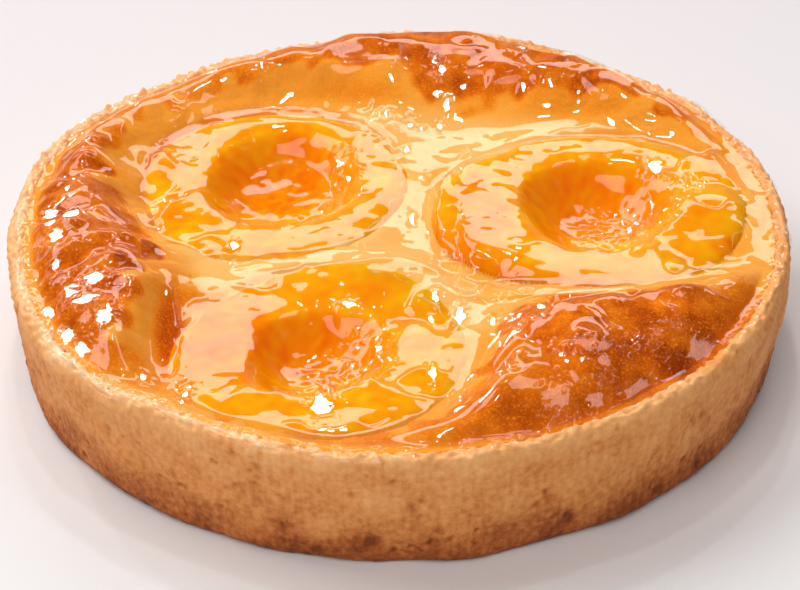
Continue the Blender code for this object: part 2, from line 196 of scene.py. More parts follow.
# clusters of tiny such places: centre, reach across and along, count
SPARKLES = (
    (-5, -25, 4, 4.5, 12), (30.5, 3.5, 5, 4.5, 16), (-7, 14, 2, 3.5, 7), (0.5, 25.5, 3.5, 2, 6),
    (14, -26, 3.5, 2.5, 7), (38, 7, 2.5, 2.5, 5))
# small bright lamps: name, heading, elevation, distance, width, height, radiance
SPOTS = (
    ("glint_lamp", 92.0, 60.0, 0.9, 0.038, 0.038, 120.0),
    ("left_lamp", 124.0, 38.0, 0.9, 0.045, 0.045, 100.0),
    ("high_lamp", 100.0, 78.0, 0.9, 0.04, 0.05, 80.0),
    ("low_lamp", 107.0, 12.0, 0.9, 0.035, 0.035, 90.0))
TOP_PANEL = (45.0, 66.0, 0.9)  # heading, elevation and distance of the lamp over the right side
# places where the glaze lies so that it mirrors that lamp: centre, reach across and along
SHEENS = (
    (18.2, -40.6, 1.5, 2), (22.6, -39.6, 1.1, 1.8), (27.3, -37.4, 2.4, 2), (34.5, -30.4, 3.6, 1.8),
    (22.5, -33.2, 2.8, 1), (23.8, -35.6, 0.9, 0.8))
GLAZE_THICKNESS = 0.32
GLAZE_FLOW = 1.0  # distance over which the glaze levels itself
RIPPLE = 0.042
EDGE_WANDER = 0.9
RIM_COVER = 0.8  # how far the cream and the glaze lie over the rim's inner edge
RIM_ZONE = 4.0  # distance from the inner wall within which they climb to the rim
RIM_SOFTNESS = 0.15
CREAM_STEP = 0.35  # how far below the rim the cream's edge lies
GLAZE_STEP = 0.14  # how far above the rim the glaze's edge lies
RIM_DIP = (0.35, 1.5)  # dip beside that edge, and the distance at which it has that depth
RIM_ROLL = 1.4  # depth of the rim's rounded top
RIM_ROLL_WIDTH = 1.2
CREAM_FALL = 3.0  # slope at which the cream ends on the rim
HOLLOW_FILL = 1.3  # depth of the glaze gathered in a pit hollow
HOLLOW_FILL_SHAPE = 1.25
FIBRES_REACH = 1.25
CLING = 0.07  # film on what is high
CLING_SOFTNESS = 0.09
LEAST_LAYER = 0.02  # least thickness of a layer that lies on another
POOL_LIMIT = 46.0  # radius where the pools end
POOL_FADE = 2.5
POOL_LEVEL = 60.0  # per cent of a pool's surface that lies below its level
GLINT_PROBE = 0.6  # distance over which the slope beside a glint is taken
GLINT_LIFT = 0.05
LEAN_FADE = 1.6  # how sharply the patches of each kind end
DARKENING_FADE = 1.5
RIPE_FADE = 2.5
CRINKLE_FADE = 1.6
GATHERED = (182.0, 46.0, 27.0, 8.0)  # creased skin: heading, spread, inner radius, fade
CALM_BACK = (85.0, 35.0)  # calm back of the ring: heading, spread

# fine relief of cream, fruit and glaze: amount, length of its features, seed
PIMPLES = ((0.03, 1.1, 31), (0.06, 3.6, 32))
FIBRES = (0.10, 1.6, 33)
FINE_RIPPLES = (0.17, 2.3, 45)
GATHERED_RIPPLES = (0.07, 4.4, 47)
CRINKLE_WAVES = ((0.035, 1.5, 43), (0.06, 2.8, 44))
RIM_BEADS = ((0.10, 2.4, 49), (0.05, 1.2, 50))
EDGE_BEADS = (0.05, 3.0, 39)
# grain of the crust: amount, lengths of its features up and round the wall, seed
CRUMBS = ((0.032, (2.8, 2.2), 51), (0.032, (1.1, 0.9), 52), (0.012, (9.0, 0.9), 53))
RIM_CRUMBS = ((0.10, (1.8, 2.4), 54), (0.16, (2.2, 1.6), 55))
BAKE_CLOUDS = (0.04, (7.0, 9.0), 57)
BAKE_STREAKS = (0.02, (8.0, 0.9), 58)
BAKE_SPECKS = (0.03, (1.6, 1.6), 59)
# rows of the crust: insets of the base; inset and height of its foot; height and inset inside
BASE_ROWS = (16.0, 6.0, 1.2)
FOOT_ROWS = ((0.75, 0.08), (0.36, 0.42), (0.1, 0.95))
INSIDE_ROWS = ((14.4, 0), (13.6, 0), (12.6, 0), (8, 0), (4.2, 0), (3, 1.2), (3, 16))
WALL_FOOT = 1.3  # height where the wall's rows start
RIM_ROWS = 18
RIM_THICKNESS = 3.15
RIM_CROWN = 1.35
PITS = 300
BASE_BAKE = 0.5
# rows of the cream's side: height, inset
CREAM_SIDE = ((14.2, 0.3), (9.0, 0.3), (4.5, 0.3), (3.3, 1.5))
CREAM_MARGIN = 0.2
LEAST_CREEP = 0.45  # least distance that the cream lies over a half's edge
SKIN_ROWS = 14
SKIN_RIPE = 0.6
GLAZE_END = 1.5  # distance over which the glaze thins out at its edge


# ------ shape of the tart
def smooth(t):
    t = np.clip(t, 0.0, 1.0)
    return t * t * (3.0 - 2.0 * t)


def bulge(t):
    """Quarter-round rise from 0 to 1."""
    t = np.clip(t, 0.0, 1.0)
    return np.sqrt(1.0 - (1.0 - t) ** 2)


def waves(x, y, length, seed):
    """Even random unevenness of about one unit, from sines that run in several directions."""
    rng = np.random.RandomState(seed)
    sines = 6
    total = np.zeros(np.shape(x))
    for _ in range(sines):
        heading, stretch, phase = rng.uniform(0.0, 1.0, 3)
        run = x * math.cos(math.tau * heading) + y * math.sin(math.tau * heading)
        total += np.sin(math.tau * (run / (length * (0.75 + 0.6 * stretch)) + phase))
    return total / math.sqrt(sines)


def around(heading, stops, column=1):
    """A value that runs smoothly round the tart through the stops."""
    turn = np.mod(heading, 360.0)
    angles = np.array([stop[0] for stop in stops] + [stops[0][0] + 360.0])
    values = np.array([stop[column] for stop in stops] + [stops[0][column]])
    index = np.clip(np.searchsorted(angles, turn, side="right") - 1, 0, len(stops) - 1)
    share = smooth((turn - angles[index]) / (angles[index + 1] - angles[index]))
    return values[index] + (values[index + 1] - values[index]) * share


def oval(x, y, centre_x, centre_y, across, along):
    """Distance from the middle of an oval, 1 on its edge."""
    return np.hypot((x - centre_x) / across, (y - centre_y) / along)


def soft_floor(values, floor, softness):
    """The higher of the two, with a soft bend where they cross."""
    return floor + softness * np.logaddexp(0.0, (values - floor) / softness)


def polar(x, y, centre):
    dx = x - centre[0]
    dy = y - centre[1]
    return np.hypot(dx, dy), np.degrees(np.arctan2(dy, dx))


def uneven_radius(radius, terms, heading):
    total = np.full(np.shape(heading), float(radius))
    for count, amount, start in terms:
        total += amount * np.cos(np.radians(count * (heading - start)))
    return total


def outline(half, heading):
    return uneven_radius(half["radius"], half["uneven"], heading)


def hollow_edge(half, heading):
    return uneven_radius(half["hollow_radius"], half["hollow_uneven"], heading)


def inner_wall(heading, z):
    top = around(heading, RIM) - WALL
    return top + (BASE_RADIUS - RIM_RADIUS) * (1.0 - z / RIM_HEIGHT)


def rim_top(heading):
    rim = around(heading, RIM)
    rim_x = rim * np.cos(np.radians(heading))
    rim_y = rim * np.sin(np.radians(heading))
    rise = around(heading, RIM, 2) + RIM_WOBBLE * waves(rim_x, rim_y, RIM_WOBBLE_LENGTH, 11)
    return RIM_HEIGHT + rise


def puff_profile(x, y):
    """How far the puffed ring rises at its crest, and the shares of it left inwards and outwards."""
    r, heading = polar(x, y, (0.0, 0.0))
    wall = inner_wall(heading, CREAM_LEVEL)
    crest = around(heading, PUFF, 1)
    inward = smooth(1.0 - (crest - r) / around(heading, PUFF, 3))
    outward = np.where(r < crest, 1.0, bulge((wall - r) / (wall - crest)))
    return around(heading, PUFF, 2), inward, outward


def puff_height(x, y):
    """Rise of the puffed ring over the cream's level, before the halves press it down."""
    r, heading = polar(x, y, (0.0, 0.0))
    rise, inward, outward = puff_profile(x, y)
    puff = rise * inward * outward
    puff *= 1.0 + LUMPS * waves(x, y, LUMP_LENGTH, 3)
    for fold, depth, width in FOLDS:
        arc = np.radians(heading % 360.0 - fold) * r
        arc = arc + FOLD_WANDER * waves(x, y, FOLD_WANDER_LENGTH, 5)
        puff -= depth * np.exp(-np.abs(arc) / width) * smooth(puff / FOLD_RISE)
    return puff


def cream_height(x, y):
    """Height of the filling's top."""
    across, _ = polar(x, y, VALLEY_CENTRE)
    height = CREAM_LEVEL + puff_height(x, y)
    height -= VALLEY_DROP * np.exp(-((across / VALLEY_WIDTH) ** 2))
    for half in HALVES.values():
        rho, bearing = polar(x, y, half["centre"])
        beyond = rho - outline(half, bearing)
        lip = half["level"] - around(bearing, half["edge"])
        lip += around(bearing, half["edge"], 2) * bulge((beyond + GAP) / LIP_WIDTH)
        height = lip + (height - lip) * smooth((beyond + TUCK) / EDGE_PUFF)
    return height + lean(x, y)


def half_height(half, x, y):
    """Height of the cut face of an apricot half, with its rounded edge and pit hollow."""
    rho, bearing = polar(x, y, half["centre"])
    edge = outline(half, bearing)
    face = half["level"] + half["tilt"][0] * (x - half["centre"][0])
    face += half["tilt"][1] * (y - half["centre"][1])
    face -= around(bearing, half["edge"]) * (1.0 - bulge((edge - rho) / SHOULDER))
    return face - half["hollow_depth"] * (1.0 - smooth(hollow_share(half, x, y) ** HOLLOW_SHAPE))


def face_relief(half, x, y):
    """Gentle unevenness of a cut face between the hollow's lip and the outer edge."""
    rho, bearing = polar(x, y, half["centre"])
    deep, turn = polar(x, y, half["hollow"])
    outside = np.maximum(deep - hollow_edge(half, turn), 0.0)
    inside = np.maximum(outline(half, bearing) - rho, 0.0)
    share = outside / (outside + inside + 1e-6)
    relief = lean(x, y)
    for heading, spread, lift, crown in half["relief"]:
        off = (bearing - heading + 180.0) % 360.0 - 180.0
        side = smooth(1.0 - np.abs(off) / spread)
        relief += side * (lift * share ** 1.5 + crown * 4.0 * share * (1.0 - share))
    return relief


def lean(x, y):
    """Height added where the top leans towards the front or the back."""
    total = np.zeros(np.shape(x))
    for *place, slope in LEANS:
        share = smooth(LEAN_FADE * (1.0 - oval(x, y, *place)))
        total += slope * (y - place[1]) * share
    return total


def hollow_share(half, x, y):
    """0 in the middle of the pit hollow, 1 on its lip."""
    deep, turn = polar(x, y, half["hollow"])
    return deep / hollow_edge(half, turn)


# ------ fields on a square grid
def soft_noise(shape, step, length, seed, width=0.5):
    """Seamless random field of unit spread with features about `length` across."""
    rng = np.random.RandomState(seed)
    spectrum = np.fft.rfft2(rng.standard_normal(shape))
    down = np.fft.fftfreq(shape[0], step[0])[:, None]
    along = np.fft.rfftfreq(shape[1], step[1])[None, :]
    length_down, length_along = length
    turns = np.hypot(down * length_down, along * length_along)
    spectrum *= np.exp(-((turns - 1.0) / width) ** 2)
    field = np.fft.irfft2(spectrum, shape)
    return field / field.std()


def blur(field, distance):
    down = np.fft.fftfreq(field.shape[0], FIELD_STEP)[:, None]
    along = np.fft.rfftfreq(field.shape[1], FIELD_STEP)[None, :]
    spectrum = np.fft.rfft2(field)
    spectrum *= np.exp(-2.0 * (math.pi * distance) ** 2 * (down ** 2 + along ** 2))
    return np.fft.irfft2(spectrum, field.shape)


class Field:
    """A value over the tart's plan, read anywhere between its grid points."""

    count = int(round(2.0 * FIELD_HALF / FIELD_STEP)) + 1
    line = np.linspace(-FIELD_HALF, FIELD_HALF, count)
    last = count - 1.001  # just inside the last grid line
    x, y = np.meshgrid(line, line)

    def __init__(self, values):
        self.values = values

    def at(self, x, y):
        column = np.clip((np.asarray(x) + FIELD_HALF) / FIELD_STEP, 0, self.last)
        row = np.clip((np.asarray(y) + FIELD_HALF) / FIELD_STEP, 0, self.last)
        c = column.astype(int)
        r = row.astype(int)
        u = column - c
        v = row - r
        low = self.values[r, c] * (1.0 - u) + self.values[r, c + 1] * u
        high = self.values[r + 1, c] * (1.0 - u) + self.values[r + 1, c + 1] * u
        return low * (1.0 - v) + high * v

    @classmethod
    def noise(cls, length, seed, width=0.5):
        return cls(soft_noise(cls.x.shape, (FIELD_STEP, FIELD_STEP), (length, length), seed, width))

    @classmethod
    def relief(cls, *layers):
        return sum(amount * cls.noise(length, seed).values for amount, length, seed in layers)


# ------ meshes
def add_object(name, data):
    obj = bpy.data.objects.new(name, data)
    bpy.context.scene.collection.objects.link(obj)
    return obj


def mesh_object(name, points, quads, triangles, values):
    """Smooth object from millimetre points; values are point attributes for its material."""
    mesh = bpy.data.meshes.new(name)
    quads = np.asarray(quads, np.int32).reshape(-1, 4)
    triangles = np.asarray(triangles, np.int32).reshape(-1, 3)
    corners = np.concatenate([quads.ravel(), triangles.ravel()])
    starts = np.concatenate([np.arange(len(quads)) * 4,
                             len(quads) * 4 + np.arange(len(triangles)) * 3])
    mesh.vertices.add(len(points))
    mesh.vertices.foreach_set("co", (np.asarray(points, float) * MM).astype(np.float32).ravel())
    mesh.loops.add(len(corners))
    mesh.loops.foreach_set("vertex_index", corners.astype(np.int32))
    mesh.polygons.add(len(starts))
    mesh.polygons.foreach_set("loop_start", starts.astype(np.int32))
    mesh.update(calc_edges=True)
    mesh.validate()
    mesh.shade_smooth()
    for key, amounts in values.items():
        layer = mesh.attributes.new(key, "FLOAT", "POINT")
        layer.data.foreach_set("value", np.asarray(amounts, np.float32).ravel())
    return add_object(name, mesh)


def lattice_faces(rows, columns, closed=True):
    """Quads between the rows of a lattice; each row runs round and meets itself if closed."""
    row = np.arange(rows - 1)[:, None]
    column = np.arange(columns if closed else columns - 1)[None, :]
    after = (column + 1) % columns
    low = row * columns
    return np.stack([low + column, low + after, low + columns + after, low + columns + column],
                    -1).reshape(-1, 4)


def cap_faces(ring_start, columns, pole, flip=False):
    ring = ring_start + np.arange(columns)
    after = ring_start + (np.arange(columns) + 1) % columns
    pair = (after, ring) if flip else (ring, after)
    return np.stack([pair[0], pair[1], np.full(columns, pole)], -1)


def disc_grid(cells):
    """Unit-disc points of a square grid bent to a disc, row by row."""
    step = np.linspace(-1.0, 1.0, cells + 1)
    u, v = np.meshgrid(step, step)
    return u * np.sqrt(1.0 - v * v / 2.0), v * np.sqrt(1.0 - u * u / 2.0)


def border(cells):
    """Indices round the edge of a disc grid, anticlockwise."""
    side = cells + 1
    k = np.arange(cells)
    return np.concatenate([k, k * side + cells, cells * side + cells - k, (cells - k) * side])


def lattice_normals(place):
    """Outward normals of a lattice whose columns run round and whose rows run along it."""
    around_it = np.roll(place, -1, 1) - np.roll(place, 1, 1)
    normals = np.cross(around_it, np.gradient(place, axis=0))
    return normals / (np.linalg.norm(normals, axis=-1, keepdims=True) + 1e-9)


# ------ materials
class Shader:
    """A material's node tree, with short calls for making and joining nodes."""

    def __init__(self, name):
        self.material = bpy.data.materials.new(name)
        self.material.use_nodes = True
        self.tree = self.material.node_tree
        self.tree.nodes.clear()
        self.output = self.tree.nodes.new("ShaderNodeOutputMaterial")

    def node(self, kind, settings=None, **inputs):
        made = self.tree.nodes.new("ShaderNode" + kind)
        for key, value in (settings or {}).items():
            setattr(made, key, value)
        for key, value in inputs.items():
            self.put(made.inputs[key.replace("_", " ")], value)
        return made

    def put(self, socket, value):
        if isinstance(value, bpy.types.NodeSocket):
            self.tree.links.new(value, socket)
        elif isinstance(value, bpy.types.Node):
            self.tree.links.new(value.outputs[0], socket)
        else:
            socket.default_value = value

    def attribute(self, name):
        return self.node("Attribute", {"attribute_name": name}).outputs["Fac"]

    def math(self, operation, first, second, clamp=False):
        made = self.node("Math", {"operation": operation, "use_clamp": clamp})
        self.put(made.inputs[0], first)
        self.put(made.inputs[1], second)
        return made.outputs[0]

    def noise(self, scale, detail, roughness):
        place = self.node("TexCoord").outputs["Object"]
        made = self.node("TexNoise", Vector=place, Scale=scale, Detail=detail,
                         Roughness=roughness)
        return made.outputs["Fac"]

    def mottle(self, amount, scale, detail, roughness=0.55):
        """Noise that runs evenly above and below zero."""
        centred = self.math("SUBTRACT", self.noise(scale, detail, roughness), 0.5)
        return self.math("MULTIPLY", centred, amount)

    def ramp(self, fac, stops):
        made = self.node("ValToRGB")
        elements = made.color_ramp.elements
        while len(elements) < len(stops):
            elements.new(1.0)
        for element, (place, colour) in zip(elements, stops):
            element.position = place
            element.color = (*colour, 1.0)
        self.put(made.inputs["Fac"], fac)
        return made.outputs["Color"]

    def finish(self, surface):
        self.tree.links.new(surface.outputs[0], self.output.inputs["Surface"])
        return self.material


def crust_material():
    shader = Shader("baked_shortcrust")
    mottle = shader.mottle(0.3, 260.0, 5.0, 0.65)
    grain = shader.mottle(0.4, 1700.0, 3.0)
    # the bake value also carries painted shade at the wall's foot and in its pits
    bake_and_shade = shader.math("ADD", shader.math("ADD", shader.attribute("bake_and_shade"), mottle), grain, True)
    colour = shader.ramp(bake_and_shade, (
        (0.0, (1.0, 0.74, 0.46)), (0.3, (0.98, 0.50, 0.19)), (0.6, (0.82, 0.315, 0.082)),
        (0.85, (0.50, 0.13, 0.024)), (1.0, (0.24, 0.055, 0.010))))
    relief = shader.node("Bump", Height=shader.noise(2300.0, 4.0, 0.7), Distance=0.12 * MM,
                         Strength=0.6)
    return shader.finish(shader.node("BsdfPrincipled", Base_Color=colour, Roughness=0.72,
                                     Specular_IOR_Level=0.3, Normal=relief))


def cream_material():
    shader = Shader("browned_cream")
    specks = shader.math("SUBTRACT", 0.52, shader.noise(3300.0, 2.0, 0.6))
    specks = shader.math("MULTIPLY", shader.math("MINIMUM", specks, 0.02), 2.0)
    blotches = shader.mottle(0.22, 500.0, 2.0, 0.5)
    grain = shader.math("ADD", specks, blotches)
    # the brown value also carries painted shade in the groove beside the front half
    grain = shader.math("MULTIPLY", grain, shader.attribute("brown_and_shade"))
    brown_and_shade = shader.math("ADD", shader.attribute("brown_and_shade"), grain, True)
    colour = shader.ramp(brown_and_shade, (
        (0.0, (0.95, 0.55, 0.19)), (0.15, (0.94, 0.43, 0.085)), (0.35, (0.92, 0.34, 0.030)),
        (0.55, (0.84, 0.225, 0.010)), (0.8, (0.62, 0.120, 0.005)), (1.0, (0.36, 0.055, 0.004))))
    return shader.finish(shader.node(
        "BsdfPrincipled", Base_Color=colour, Roughness=0.55, Specular_IOR_Level=0.0,
        Subsurface_Weight=0.25, Subsurface_Radius=(1.0, 0.45, 0.15), Subsurface_Scale=1.2 * MM))


def apricot_material():
    shader = Shader("apricot_flesh")
    grain = shader.mottle(0.2, 420.0, 3.0, 0.5)
    # the ripe value also carries painted shade on the front half's left flank
    ripe_and_shade = shader.math("ADD", shader.attribute("ripe_and_shade"), grain, True)
    colour = shader.ramp(ripe_and_shade, (
        (0.0, (1.0, 0.62, 0.014)), (0.35, (1.0, 0.42, 0.004)), (0.7, (1.0, 0.28, 0.002)),
        (1.0, (0.85, 0.16, 0.001))))
    return shader.finish(shader.node(
        "BsdfPrincipled", Base_Color=colour, Roughness=0.45, Specular_IOR_Level=0.0,
        Subsurface_Weight=0.7, Subsurface_Radius=(1.0, 0.35, 0.06), Subsurface_Scale=3.5 * MM))


def glaze_material():
    """Clear jelly: what is under it shows through, tinted where it lies thick."""
    shader = Shader("clear_glaze")
    tint = shader.ramp(shader.attribute("thickness"), (
        (0.0, (1.0, 0.98, 0.93)), (0.5, (1.0, 0.94, 0.76)), (1.0, (0.99, 0.87, 0.55))))
    clear = shader.node("BsdfTransparent", Color=tint)
    gloss = shader.node("BsdfGlossy", Roughness=0.03, Color=(1.0, 0.95, 0.91, 1.0))
    fresnel = shader.node("Fresnel", IOR=1.48)
    outside = shader.math("SUBTRACT", 1.0, shader.node("NewGeometry").outputs["Backfacing"])
    surface = shader.node("MixShader")
    shader.put(surface.inputs[0], shader.math("MULTIPLY", fresnel, outside))
    shader.put(surface.inputs[1], clear)
    shader.put(surface.inputs[2], gloss)
    return shader.finish(surface)


def plain_material(name, colour, roughness):
    """A plain colour with painted shade that darkens it towards the back, where the lamps light the floor
    more.
    """
    shader = Shader(name)
    place = shader.node("SeparateXYZ", Vector=shader.node("TexCoord").outputs["Object"]).outputs["Y"]
    depth = shader.math("ADD", shader.math("MULTIPLY", place, 4.0), 0.5, True)
    # painted shade: the far end of the floor is painted darker
    far_shade_colour = (0.80 * colour[0], 0.73 * colour[1], 0.745 * colour[2])
    tone = shader.ramp(depth, ((0.0, colour), (1.0, far_shade_colour)))
    surface = shader.node("BsdfPrincipled", Base_Color=tone, Roughness=roughness)
    return shader.finish(surface)


# ------ view
CAMERA_DISTANCE = 361.0 * MM
CAMERA_ELEVATION = 35.03
CAMERA_YAW = 0.05
CAMERA_PITCH = 0.675
CAMERA_ROLL = -0.72
PICTURE_WIDTH = 800.0
FOCAL_PIXELS = 2768.0
SENSOR_WIDTH = 36.0


def towards(heading, elevation):
    """Unit vector from the tart to a heading and a height in degrees."""
    bearing = math.radians(heading)
    rise = math.radians(elevation)
    return Vector((math.cos(rise) * math.cos(bearing), math.cos(rise) * math.sin(bearing),
                   math.sin(rise)))


def camera_place():
    return towards(-90.0, CAMERA_ELEVATION) * CAMERA_DISTANCE


# ------ heights over the plan
def shared_fields():
    """What the heights of cream and glaze are worked out from."""
    r, heading = polar(Field.x, Field.y, (0.0, 0.0))
    wall = inner_wall(heading, CREAM_LEVEL)
    past_cream = r - wall - RIM_COVER
    middle, spread, start, distance = GATHERED
    gathered = smooth((r - start) / distance) * smooth(1.0 - np.abs(heading % 360.0 - middle) / spread)
    dip, dip_distance = RIM_DIP
    return {"heading": heading, "past_cream": past_cream, "on_rim": r > wall + RIM_COVER,
            "by_rim": np.abs(r - wall) < RIM_ZONE, "rim": rim_top(heading),
            "dip": dip * (past_cream / dip_distance) ** 2,
            "puff": puff_height(Field.x, Field.y), "gathered": smooth(1.6 * gathered)}


def cream_field(plan):
    """Height of the cream: pimpled where it is puffed, creased at the left, climbing to the rim."""
    cream = cream_height(Field.x, Field.y)
    cream = cream + Field.relief(*PIMPLES) * smooth(plan["puff"] / 3.0)
    crease = soft_noise(cream.shape, (FIELD_STEP, FIELD_STEP), (5.0, 8.0), 37)
    cream = cream + plan["gathered"] * (0.26 * crease - 0.24 * np.exp(-(crease / 0.25) ** 2))
    climb = plan["rim"] - CREAM_STEP - plan["dip"]
    return np.where(plan["by_rim"], soft_floor(cream, climb, RIM_SOFTNESS), cream)


def top_field(plan, cream):
    """Height of all that lies under the glaze: the cream, the halves and the rim."""
    x, y = Field.x, Field.y
    top = cream
    for half in HALVES.values():
        rho, bearing = polar(x, y, half["centre"])
        fibres = Field.relief(FIBRES) * smooth(FIBRES_REACH - hollow_share(half, x, y))
        face = half_height(half, x, y) + face_relief(half, x, y) + fibres
        top = np.where(rho < outline(half, bearing), face, top)
    shoulder = plan["rim"] - RIM_ROLL * (1.0 - bulge(plan["past_cream"] / RIM_ROLL_WIDTH))
    on_rim = np.maximum(shoulder, top - CREAM_FALL * plan["past_cream"])
    return np.where(plan["on_rim"], on_rim, top)


def add_ripples(surface, plan):
    """Ripples of the glaze, calmer on the puffed ring and most of all at the back."""
    puff, gathered = plan["puff"], plan["gathered"]
    ripples = 0.32 * Field.noise(4.2, 41, 0.45).values + Field.noise(9.0, 42).values
    ripples = ripples + Field.relief(FINE_RIPPLES) * (1.0 - 0.7 * gathered)
    middle, spread = CALM_BACK
    at_back = smooth(2.2 - np.abs(plan["heading"] - middle) / spread)
    calm = np.maximum(0.65 * smooth(puff / 2.5), 0.85 * at_back * smooth(puff / 0.6))
    ripples = ripples * (1.0 - calm * (1.0 - gathered))
    surface = surface + RIPPLE * ripples + gathered * Field.relief(GATHERED_RIPPLES)
    crinkle = np.zeros(surface.shape)
    for centre_x, centre_y, width, strength in CRINKLES:
        away, _ = polar(Field.x, Field.y, (centre_x, centre_y))
        crinkle = np.maximum(crinkle, strength * smooth(CRINKLE_FADE * (1.0 - away / width)))
    return surface + crinkle * Field.relief(*CRINKLE_WAVES)


def add_beads(surface, top, plan):
    """Beads of glaze on the rim, and a thicker line of them along the cream's edge."""
    past_cream = plan["past_cream"]
    over_rim = smooth((past_cream + 0.6) / 0.9)
    lifted = np.maximum(surface, top + 0.26) + Field.relief(*RIM_BEADS)
    surface = surface + over_rim * (lifted - surface)
    wander = 0.2 * Field.noise(6.0, 38).values
    bead_line = np.exp(-((past_cream - 0.35 - wander) / 0.38) ** 2)
    return surface + bead_line * (0.13 + Field.relief(EDGE_BEADS))


def glaze_field(plan, top):
    """Height of the glaze: it levels itself, gathers in the hollows and clings to what is high."""
    surface = blur(top, GLAZE_FLOW) + GLAZE_THICKNESS * (1.0 - 0.5 * plan["gathered"])
    for half in HALVES.values():
        share = hollow_share(half, Field.x, Field.y)
        surface = surface + HOLLOW_FILL * (1.0 - smooth(share * HOLLOW_FILL_SHAPE))
    surface = add_pools(surface)
    fillet = plan["rim"] + GLAZE_STEP - plan["dip"]
    surface = np.where(plan["by_rim"], soft_floor(surface, fillet, RIM_SOFTNESS), surface)
    surface = add_beads(add_ripples(surface, plan), top, plan)
    surface = soft_floor(surface, blur(top, 0.5) + CLING, CLING_SOFTNESS)
    surface = add_glints(surface, SHEENS, [TOP_PANEL])
    surface = add_glints(surface, GLINTS + scattered(SPARKLES), [spot[1:4] for spot in SPOTS])
    return np.maximum(surface, top + LEAST_LAYER)


def build_fields():
    plan = shared_fields()
    cream = cream_field(plan)
    top = top_field(plan, cream)
    return {"cream": Field(cream), "top": Field(top), "glaze": Field(glaze_field(plan, top)),
            "mottle": Field.noise(7.0, 34), "spots": Field.noise(2.6, 35),
            "creep": Field.noise(5.0, 36), "fibres": Field(Field.relief(FIBRES))}


def add_pools(surface):
    """Lets the glaze stand at an even slope in each of the POOLS."""
    ragged = 1.0 + 0.10 * Field.noise(4.5, 48).values
    inside = smooth((POOL_LIMIT - np.hypot(Field.x, Field.y)) / POOL_FADE)
    for x, y, across, along, slope in POOLS:
        away = oval(Field.x, Field.y, x, y, across, along)
        above = surface - slope * (Field.y - y)
        level = np.percentile(above[away < 1.0], POOL_LEVEL)
        share = smooth((1.3 - away * ragged) / 0.5) * inside
        lift = level + slope * (Field.y - y) - surface
        surface = surface + share * np.tanh(lift)
    return surface


def scattered(clusters):
    """Small places strewn over each cluster."""
    rng = np.random.RandomState(71)
    places = ()
    for x, y, across, along, count in clusters:
        for _ in range(count):
            turn = rng.uniform(0.0, math.tau)
            out = math.sqrt(rng.uniform())
            places += ((x + across * out * math.cos(turn), y + along * out * math.sin(turn),
                        rng.uniform(0.28, 0.55), rng.uniform(0.35, 0.75)),)
    return places


def add_glints(surface, places, lamps):
    """Lays small places of the glaze so that the nearest of the lamps shows in them."""
    ragged = 1.0 + 0.2 * Field.noise(1.1, 46).values
    film = Field(surface)
    for x, y, across, along in places:
        level = float(film.at(x, y))
        now_x = float(film.at(x + GLINT_PROBE, y) - film.at(x - GLINT_PROBE, y)) / (2.0 * GLINT_PROBE)
        now_y = float(film.at(x, y + GLINT_PROBE) - film.at(x, y - GLINT_PROBE)) / (2.0 * GLINT_PROBE)
        slopes = [lamp_slope(Vector((x, y, level)) * MM, *lamp) for lamp in lamps]
        slope_x, slope_y = min(slopes, key=lambda slope: math.hypot(slope[0] - now_x, slope[1] - now_y))
        away = oval(Field.x, Field.y, x, y, across, along) * ragged
        flat = level + GLINT_LIFT + slope_x * (Field.x - x) + slope_y * (Field.y - y)
        surface = surface + (flat - surface) * smooth((1.4 - away) / 0.5)
    return surface


def lamp_slope(place, heading, elevation, distance):
    """Slope at which the top mirrors a lamp to where the tart is looked at from."""
    sight = (camera_place() - place).normalized()
    halfway = sight + (towards(heading, elevation) * distance - place).normalized()
    return -halfway.x / halfway.z, -halfway.y / halfway.z


